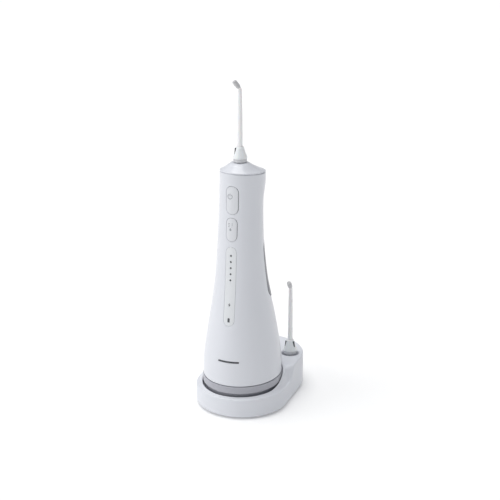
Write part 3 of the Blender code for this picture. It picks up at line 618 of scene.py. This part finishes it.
def soft_edge(top, back=-WALL, radius=0.35):
    """Edge steps of a plate with a rounded front rim."""
    steps = [(0.0, back)]
    for k in range(5):
        angle = math.radians(90 * k / 4)
        steps.append((radius * (math.cos(angle) - 1), top - radius + radius * math.sin(angle)))
    return steps


def mark(name, side, middle_z, outline, body, material=ICON_GREY, base=0.0, at_x=0.0):
    """Thin printed or moulded mark on the skin, from an outline of (across, up) points."""
    bm = bmesh.new()
    rows = []
    for offset in (base - 0.3, base + MARK_HEIGHT):
        rows.append([bm.verts.new(wrapped(side, middle_z, x + at_x, y, offset)) for x, y in outline])
    bridge_all(bm, rows)
    for end in rows:
        bm.faces.new(end)
    made = finish_object(name, bm, material, HANDSET)
    place(made, body, "mark_grey")
    return made


def stroke(points, width):
    """Outline of a line of some width along points, with square ends."""
    left, right = [], []
    for i, (x, y) in enumerate(points):
        before, after = Vector(points[max(i - 1, 0)]), Vector(points[min(i + 1, len(points) - 1)])
        along = (after - before).normalized()
        side = Vector((-along.y, along.x)) * width / 2
        left.append((x + side.x, y + side.y))
        right.append((x - side.x, y - side.y))
    return left + right[::-1]


def arc(radius, start, end):
    """Points round zero between two angles in degrees."""
    steps = 18
    angles = [math.radians(mix(start, end, k / steps)) for k in range(steps + 1)]
    return [(radius * math.cos(a), radius * math.sin(a)) for a in angles]


def tapered(edge, back):
    """Edge steps that draw in towards the back, to clear the hole when pressed."""
    return [(BUTTON_TAPER, back), *edge[1:]]


def make_buttons():
    """The two buttons on the front, dished towards the middle."""

    def dish(plate):
        def lift(across, up):
            across_share = max(0.0, 1 - (across / plate.half_width) ** 2)
            up_share = max(0.0, 1 - (up / plate.half_height) ** 2)
            return 0.35 * across_share * up_share**0.5

        return lift

    edge = tapered(soft_edge(0.12), -WALL)
    for name, plate in (("power_button", POWER), ("pressure_button", PRESSURE)):
        outline = plate.outline(BUTTON_CLEARANCE)
        face = patch(
            name + "_face", CONTROLS, plate.middle_z, outline, edge, BUTTON_WHITE, rings=12, lift=dish(plate)
        )
        place(face, name, "white_satin", name)


def make_button_icons():
    """A broken ring with a stroke on the power button, three lines over a drop on the other."""
    line = 0.5

    def icon(name, button, middle_z, outline, at_x):
        mark(name, CONTROLS, middle_z, outline, button, base=ICON_BASE, at_x=at_x)

    power_z, power_x = POWER.middle_z + 3.2, -1.6
    icon("power_icon_ring", "power_button", power_z, stroke(arc(2.0, 118, 422), line), power_x)
    icon("power_icon_stroke", "power_button", power_z, stroke([(0, 0.5), (0, 2.6)], line), power_x)
    lines_z, lines_x = PRESSURE.middle_z + 2.6, -0.7
    for k in range(3):
        up = 2.6 - 1.3 * k
        row = stroke([(-2.0, up), (2.0 - 0.25 * k, up)], line)
        icon(f"pressure_icon_line_{k + 1}", "pressure_button", lines_z, row, lines_x)
    drop = [(x * 0.9, y * 0.9 - 2.6) for x, y in arc(1.0, -220, 40)] + [(0, -1.0)]
    icon("pressure_icon_drop", "pressure_button", lines_z, drop, lines_x)


def make_release_button():
    outline, edge = RELEASE.outline(RELEASE_CLEARANCE), tapered(soft_edge(0.8, radius=0.6), -WALL + 0.2)
    grip = patch("release_button_face", REAR, RELEASE.middle_z, outline, edge, BUTTON_WHITE)
    place(grip, "release_button", "white_satin", "release_button")


def make_window():
    """Indicator window with five level lamps and the charge and battery signs, and the plain bar below."""
    edge = soft_edge(-0.02, back=-1.5, radius=0.25)
    window = patch("indicator_window_face", CONTROLS, WINDOW.middle_z, WINDOW.outline(), edge, WINDOW_WHITE)
    round_lamp = rounded_rectangle(LAMP_R, LAMP_R, LAMP_R - 0.0001, 5)
    holes, bore = [], [(0.12, -4), (0.12, 2)]
    for z in LAMP_HEIGHTS:
        holes.append(patch(f"lamp_hole_{z}", CONTROLS, z, round_lamp, bore, None, rings=2))
    cut(window, *holes)
    place(window, "housing", "window_white", "indicator_window")
    edge = soft_edge(0.0, back=-1.6, radius=0.2)
    for n, z in enumerate(LAMP_HEIGHTS, 1):
        lamp = patch(f"level_lamp_dome_{n}", CONTROLS, z, round_lamp, edge, MARK_AND_SHADE_GREY, rings=3)
        place(lamp, "housing", "mark_grey", f"level_lamp_{n}")
    bolt = [(0.5, 1.9), (-1.1, -0.2), (-0.1, -0.2), (-0.5, -1.9), (1.1, 0.3), (0.1, 0.3)]
    plug = mark("charge_lamp_glyph", CONTROLS, CHARGE_Z, bolt, "housing", MARK_AND_SHADE_GREY, base=-0.02)
    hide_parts("charge_lamp")
    right_half = [(0.95, -1.8), (0.95, 1.5), (0.4, 1.5), (0.4, 1.9)]
    cell = right_half + [(-x, y) for x, y in reversed(right_half)]
    glyph = mark("battery_lamp_glyph", CONTROLS, BATTERY_Z, cell, "housing", MARK_AND_SHADE_GREY, base=-0.02)
    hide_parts("battery_lamp")
    outline, edge = BRAND_BAR.outline(steps=5), soft_edge(0.03, back=-0.5, radius=0.1)
    bar = patch("plain_bar", FRONT, BRAND_BAR.middle_z, outline, edge, MARK_AND_SHADE_GREY, rings=3)
    place(bar, "housing", "mark_grey", "brand_bar")


def make_rear_panel():
    """Panel that stands out a little towards its foot, and the filler cap with its finger ledge."""

    def flare(_, up):
        return 0.35 * smooth_step((-up - 6) / 20)

    def ledge(across, up):
        thumb = smooth_step((-up - 7.5) / 4) * smooth_step((8 - abs(across)) / 4)
        return flare(across, FILLER.middle_z + up - PANEL_Z) + 1.1 * thumb

    edge = soft_edge(0.1, radius=0.4)
    panel = patch(
        "rear_panel_skin", REAR, PANEL_Z, panel_outline(), edge, SMOKE_GREY, rings=24, lift=flare
    )
    edge = [(0.26, -6.0)] + [(grow, offset + 0.4) for grow, offset in cutter_profile(0.2)[1:]]
    cut(panel, patch("filler_hole", REAR, FILLER.middle_z, FILLER.outline(), edge, None, rings=4))
    place(panel, "housing", "smoke_grey", "rear_panel")
    outline, edge = FILLER.outline(), soft_edge(0.12)
    cap = patch(
        "filler_cap_skin", REAR, FILLER.middle_z, outline, edge, SMOKE_GREY, rings=12, lift=ledge
    )
    place(cap, "filler_cap", "smoke_grey", "filler_cap")


def tank_section(z, inset):
    """(half width, front, back) of the tank's skin moved in by inset, clear of the works in front."""
    side_gap = 4.2
    front_gap = side_gap + 5.0 * smooth_step((z - 58.0) / 18.0)
    half_width, front, back = section(z)
    return half_width - side_gap - inset, front + front_gap + inset, back - side_gap - inset


def make_tank():
    """Clear vessel on a grey foot, whose band shows between the skirt and the stand."""
    count, wall = 128, 1.6
    half_width, front, back = section(SKIRT_Z)
    foot = spline(((14.0, 3.6), (14.3, 2.7), (15.2, 2.1), (16.8, 1.9)), 3)
    foot += [(22.6, 1.85), (23.0, 1.7), (22.4, 0.0), (22.7, -0.4)]
    foot += [(SKIRT_Z - 0.8, -0.4), (SKIRT_Z - 0.5, -0.1)]
    rings = [oval(half_width - inset, front + inset, back - inset, z, count) for z, inset in foot]
    heights = [mix(SKIRT_Z + 1, TANK_TOP_Z - 1, k / 30) for k in range(31)]
    shoulder = [(SKIRT_Z - 0.4, -0.3), (SKIRT_Z, 0.0)]
    rings += [oval(*tank_section(z, inset), z, count) for z, inset in shoulder + [(z, 0) for z in heights]]
    for down, inset in ((0.5, 0.15), (0.15, 0.5), (0.0, 1.0)):
        rings.append(oval(*tank_section(TANK_TOP_Z, inset), TANK_TOP_Z - down, count))
    tank = loft("water_tank_skin", rings, BAND_GREY)
    inside = [oval(*tank_section(SKIRT_Z, wall), z, count) for z in (16.0, 22.0, SKIRT_Z)]
    inside += [oval(*tank_section(z, wall), z, count) for z in heights[2:-1:2]]
    hollow = loft("tank_hollow", inside, None)
    bore = [(0.0, -9.0), (0.0, -2.5)]
    port = patch("tank_port_hole", REAR, TANK_PORT.middle_z, TANK_PORT.outline(), bore, None, rings=3)
    bottom, top, bore_r = TANK_TOP_Z - 6, TANK_TOP_Z + 6, 3.6
    pin = ((0, bottom), (bore_r, bottom), (bore_r, top), (0, top))
    drop = lathe("tank_suction_hole", pin, None, (SUCTION_X, SUCTION_Y + HANDSET_Y, 0), count=32)
    cut(tank, hollow, port, drop)
    tank.data.materials.append(TANK_CLEAR)
    for face in tank.data.polygons:
        if face.center.z > (SKIRT_Z + 0.3) * MM:
            face.material_index = 1
    place(tank, "tank", "tank_grey", "water_tank")


# Nozzles


def make_nozzle(prefix, at, turn, body, slot_angles):
    """Tapered tube with a bent tip, a conical knob with grip slots, and a colour ring at its foot."""
    at = Vector(at)
    spin = Matrix.Rotation(turn, 3, "Z")
    straight, bend, bend_r, bend_steps = NOZZLE_LENGTH - 10.2, math.radians(36), 4.0, 8
    # Height and radius up the straight, then round the bend
    shank = ((-SHANK_LENGTH, 2.3), (-0.5, 2.3), (13, 2.15), (28, 2.05), (44, 1.9), (straight, 1.6))
    path = [((0, 0, height), radius) for height, radius in spline(shank, 4)]
    for k in range(1, bend_steps + 1):
        share = k / bend_steps
        angle = bend * share
        point = (0, -bend_r * (1 - math.cos(angle)), straight + bend_r * math.sin(angle))
        path.append((point, 1.6 - 0.15 * share))
    placed = [spin @ Vector(point) for point, _ in path]
    made = tube(prefix + "nozzle_tube_skin", placed, [radius for _, radius in path], NOZZLE_WHITE, at)
    place(made, body, "nozzle_white", prefix + "nozzle_tube")

    along = Vector((0, -math.sin(bend), math.cos(bend)))
    end = Vector(path[-1][0])
    flare = ((-0.3, 1.4), (0.2, 1.46), (0.7, 1.7), (1.1, 1.9), (1.7, 1.98))
    mouth = ((4.2, 1.98), (6.2, 1.94), (6.8, 1.8), (7.0, 1.5), (7.05, 0.8), (6.4, 0.45))
    placed = [spin @ (end + along * distance) for distance, _ in flare + mouth]
    radii = [radius for _, radius in flare + mouth]
    place(tube(prefix + "nozzle_tip", placed, radii, TIP_GREY, at), body, "nozzle_white")

    skirt = ((6.1, 3.45), (6.0, 4.1), (5.1, 6.6), (4.5, 8.3))
    neck = ((4.0, 9.9), (3.55, 11.5), (3.2, 12.6), (2.6, 13.2))
    slope = spline(skirt + neck, 4)
    profile = [(2.35, 13.3), *slope[::-1], (5.9, 3.3), (2.6, 3.3), (2.45, 7.0)]
    knob = lathe(prefix + "nozzle_knob_skin", profile, NOZZLE_WHITE, at, closed=True)
    ways = [Matrix.Rotation(math.radians(angle), 3, "Z") @ Vector((1, 0, 0)) for angle in slot_angles]
    cut(knob, *(block(prefix + "grip_slot", way, at, 0.75, (6.6, 12.0), (3.3, 7.5)) for way in ways))
    place(knob, body, "nozzle_white", prefix + "nozzle_knob")
    # The dark grey blocks set into the knob's grip slots are painted shade. They darken the slots beyond the
    # shade that the cut slots cast.
    for n, way in enumerate(ways, 1):
        name = f"{prefix}grip_inlay_{n}"
        slot_shade = block(name, way, at, 0.7, (6.75, 11.85), (3.2, 4.75), lean=-0.1, material=MARK_AND_SHADE_GREY)
        place(slot_shade, body, "mark_grey")
    profile = ((2.7, 3.1), (5.45, 3.1), (5.6, 2.95), (5.7, 2.4), (5.7, 0.7), (5.55, 0.4), (2.7, 0.4))
    ring = lathe(prefix + "nozzle_ring_skin", profile, RING_GREY, at, closed=True)
    place(ring, body, "ring_grey", prefix + "nozzle_ring")


def block(name, direction, at, half_width, heights, reach, lean=0.0, material=None):
    """Small block between two distances from the axis along a direction, leaning in with height."""
    side = Vector((-direction.y, direction.x, 0)) * half_width
    near, far = reach
    bm = bmesh.new()
    rings = []
    for z in np.linspace(*heights, 6):
        shift = lean * (z - heights[0])
        corners = ((near, -1), (far, -1), (far, 1), (near, 1))
        ring = [direction * (out + shift) + side * sign + Vector((0, 0, z)) for out, sign in corners]
        rings.append([bm.verts.new(point) for point in ring])
    bridge_all(bm, rings)
    bm.faces.new(rings[0])
    bm.faces.new(rings[-1])
    return finish_object(name, bm, material, at)


# Stand


def stadium_point(angle, inset):
    """Where a level ray from the handset's axis meets the stand's outline moved in by inset."""
    radius = CORNER_R - inset
    c, s = math.cos(angle), math.sin(angle)
    if s <= 0:
        reach = radius
    elif abs(c) > 1e-9 and radius / abs(c) * s <= REAR_Y:
        reach = radius / abs(c)
    else:
        reach = REAR_Y * s + math.sqrt(radius**2 - (REAR_Y * c) ** 2)
    return Vector((reach * c, reach * s, 0))


def outer_edge_z(y):
    """Height of the stand's top at its outer edge, low in front and up to the full height behind."""
    front_z = 18.3
    return mix(front_z, STAND_REAR_TOP, smooth_step((y - 11) / 12))


def inner_edge_z(y):
    """Height of the stand's top at the well's edge, a longer slope from a higher front."""
    front_z = 19.9
    return mix(front_z, STAND_REAR_TOP, smooth_step((y + 20) / 48))


def well_point(angle, grow):
    """Where a level ray from the handset's axis meets the well's wall moved out by grow."""
    half_width, front, back = section(SKIRT_Z)
    across, deep = half_width + WELL_CLEARANCE + grow, (back - front) / 2 + WELL_CLEARANCE + grow
    reach = 1 / math.sqrt((math.cos(angle) / across) ** 2 + (math.sin(angle) / deep) ** 2)
    return Vector((reach * math.cos(angle), (front + back) / 2 + reach * math.sin(angle), 0))


def stand_top_point(angle, share, fillet, lip):
    """Point of the stand's top, a share of the way in from the outer edge to the well."""
    point = stadium_point(angle, fillet).lerp(well_point(angle, lip), share)
    edge_z = outer_edge_z(stadium_point(angle, 0).y)
    # The flat rear top meets the well straight, and the ramp rolls into it
    blend = smooth_step(share) if edge_z < STAND_REAR_TOP - 0.5 else share
    point.z = mix(max(edge_z, outer_edge_z(point.y)), inner_edge_z(point.y), blend)
    return point


def nozzle_pocket(side):
    """Cutter of a nozzle's pocket: a softened rim, a cup for the knob and a bore for the shank."""
    high, cup_z, bore_r = 50, 25, 3.4
    profile = (
        (0, high),
        (POCKET_R + 1.6, high),
        (POCKET_R + 1.0, STAND_REAR_TOP + 0.3),
        (POCKET_R + 0.35, STAND_REAR_TOP - 0.25),
        (POCKET_R, STAND_REAR_TOP - 0.9),
        (POCKET_R, cup_z),
        (POCKET_R - 1.0, cup_z - 1.5),
        (bore_r + 0.2, cup_z - 3.5),
        (bore_r, cup_z - 4),
        (bore_r, POCKET_FLOOR_Z),
        (0, POCKET_FLOOR_Z),
    )
    at = (side * POCKET_X, POCKET_Y + HANDSET_Y, 0)
    return lathe(f"pocket_cutter_{side}", profile, None, at, count=72)


def make_stand():
    """Lofted rings from the underside up the outer wall, in over the top, and down into the well."""
    angles = turns(360)
    fillet, lip, foot, foot_z, first_step = 1.3, 0.35, 3.0, 1.2, 0.2
    quarter = math.pi / 2

    def outer_row(inset, drop):
        """Along the outline, this far below its top edge."""
        ring = [stadium_point(angle, inset) for angle in angles]
        for point, angle in zip(ring, angles):
            point.z = outer_edge_z(stadium_point(angle, 0).y) - drop
        return ring

    def inner_row(grow, drop):
        """Along the well's wall, this far below its top edge."""
        ring = [well_point(angle, grow) for angle in angles]
        for point, angle in zip(ring, angles):
            point.z = inner_edge_z(well_point(angle, lip).y) - drop
        return ring

    wall = [(foot + 2.8, 6.0), (foot + 2.8, foot_z + 0.5), (foot + 2.4, foot_z), (foot, foot_z)]
    for a in np.linspace(first_step, quarter, 8):
        wall.append((foot * (1 - math.sin(a)), foot_z + foot * 1.15 * (1 - math.cos(a))))
    rings = [[stadium_point(angle, inset) + Vector((0, 0, z)) for angle in angles] for inset, z in wall]
    rings += [outer_row(0.0, drop) for drop in (9.0, 5.0, fillet)]
    for a in np.linspace(first_step, quarter, 7):
        rings.append(outer_row(fillet * (1 - math.cos(a)), fillet * (1 - math.sin(a))))
    for share in np.linspace(0.08, 0.92, 24):
        rings.append([stand_top_point(angle, share, fillet, lip) for angle in angles])
    for a in np.linspace(0, quarter, 5):
        rings.append(inner_row(lip * (1 - math.sin(a)), lip * (1 - math.cos(a))))
    # Down the well's wall, and over its floor with a shallow groove round it
    for grow, up in ((0.0, 1.0), (-0.3, 0.3), (-1.0, 0), (-6.0, 0), (-7.0, -0.5), (-8.0, 0), (-20.0, 0)):
        rings.append([well_point(angle, grow) + Vector((0, 0, WELL_FLOOR_Z + up)) for angle in angles])
    shell = loft("stand_skin", rings, WHITE_SATIN)
    cutters = [nozzle_pocket(side) for side in (-1, 1)]
    rear = REAR_Y + CORNER_R + HANDSET_Y
    inlet = ((0, -7.5), (4.3, -7.5), (4.3, -0.6), (5.0, 0.3), (5.2, 6), (0, 6))
    turn = ("X", -quarter)
    cutters.append(lathe("inlet_cutter", inlet, None, (0, rear, INLET_Z), count=48, turn=turn))
    cut(shell, *cutters)
    place(shell, "stand", "white_satin", "stand_shell")


# Inner details


def make_board_chips():
    """Chips on the control board, which the plain solids leave out."""
    low_end, high_end = Vector((0, -25.4, 80.5)), Vector((0, -16.0, 197.5))
    board_face = 1.32
    along = (high_end - low_end).normalized()
    outward = Vector((0, along.z, -along.y))
    # Share of the way up the board, place across it, half width, half height, thickness
    chips = (
        (0.2, 0, 3.0, 4.0, 1.1),
        (0.36, 1.5, 2.2, 2.2, 0.9),
        (0.5, -2.6, 1.0, 1.9, 0.8),
        (0.5, 2.6, 1.0, 1.9, 0.8),
        (0.68, 0, 2.6, 3.4, 1.0),
        (0.86, -1.4, 1.8, 2.4, 0.8),
    )
    upright = Vector((0, 0, 1)).rotation_difference(along).to_matrix()
    for n, (share, x, half_x, half_z, thick) in enumerate(chips, 1):
        middle = low_end.lerp(high_end, share) + Vector((x, 0, 0)) + outward * (board_face + thick / 2)
        bm = bmesh.new()
        bmesh.ops.create_cube(bm, size=1.0)
        bmesh.ops.scale(bm, verts=bm.verts, vec=(2 * half_x, thick, 2 * half_z))
        bmesh.ops.bevel(bm, geom=bm.edges, offset=0.12, segments=2, affect="EDGES")
        bmesh.ops.rotate(bm, verts=bm.verts, matrix=upright)
        bmesh.ops.translate(bm, verts=bm.verts, vec=middle)
        place(finish_object(f"board_chip_{n}", bm, BLACK, HANDSET), "housing", "black_plastic")


# Camera, light and floor


def make_studio():
    """Camera at its viewpoint, two wide soft lights, an even pale world and a pale floor."""
    scene = bpy.context.scene
    level = math.cos(CAMERA_ELEVATION)
    back = Vector(
        (math.sin(CAMERA_AZIMUTH) * level, -math.cos(CAMERA_AZIMUTH) * level, math.sin(CAMERA_ELEVATION))
    )
    camera = bpy.data.objects.new("camera", bpy.data.cameras.new("camera"))
    camera.data.lens = CAMERA_LENS
    camera.data.sensor_width = 36.0
    camera.data.clip_end = 50.0
    camera.location = CAMERA_TARGET + back * CAMERA_DISTANCE
    camera.rotation_euler = back.to_track_quat("Z", "Y").to_euler()
    scene.collection.objects.link(camera)
    scene.camera = camera
    scene.view_settings.view_transform = "Standard"
    world = bpy.data.worlds.new("studio")
    world.use_nodes = True
    background = world.node_tree.nodes["Background"]
    background.inputs["Color"].default_value = (0.95, 0.97, 1.0, 1)
    background.inputs["Strength"].default_value = 0.25
    scene.world = world
    for name, direction, strength, spread, colour in (
        ("top_light", (-0.1, 0.0, 1.0), 2.15, 50, (1.0, 1.0, 1.0)),
        ("key_light", (-1.0, -0.6, 0.35), 1.15, 60, (1.0, 0.995, 0.99)),
    ):
        light = bpy.data.objects.new(name, bpy.data.lights.new(name, "SUN"))
        light.data.energy = strength
        light.data.angle = math.radians(spread)
        light.data.color = colour
        light.rotation_euler = Vector(direction).to_track_quat("Z", "Y").to_euler()
        scene.collection.objects.link(light)
    bm = bmesh.new()
    bmesh.ops.create_grid(bm, x_segments=2, y_segments=2, size=8000)
    glow = {"Emission_Color": (1.0, 1.0, 1.0, 1.0), "Emission_Strength": 0.14}
    pale = finish("floor_pale", (0.9, 0.9, 0.9), 0.7, vary=0.004, bump=0.0, **glow)
    floor = finish_object("floor", bm, pale, (0, 0, 0))


dress_cad_nodes()
make_body_shell()
make_head_cap()
make_buttons()
make_button_icons()
make_release_button()
make_window()
make_rear_panel()
make_tank()
make_nozzle("", (0, NOZZLE_Y + HANDSET_Y, CAP_TOP_Z + 0.1), NOZZLE_TIP_TURN, "nozzle", (212, 75))
make_nozzle("spare_", (POCKET_X, POCKET_Y + HANDSET_Y, SPARE_Z), 0.0, "spare_nozzle", (212, -20))
make_stand()
make_board_chips()
make_studio()
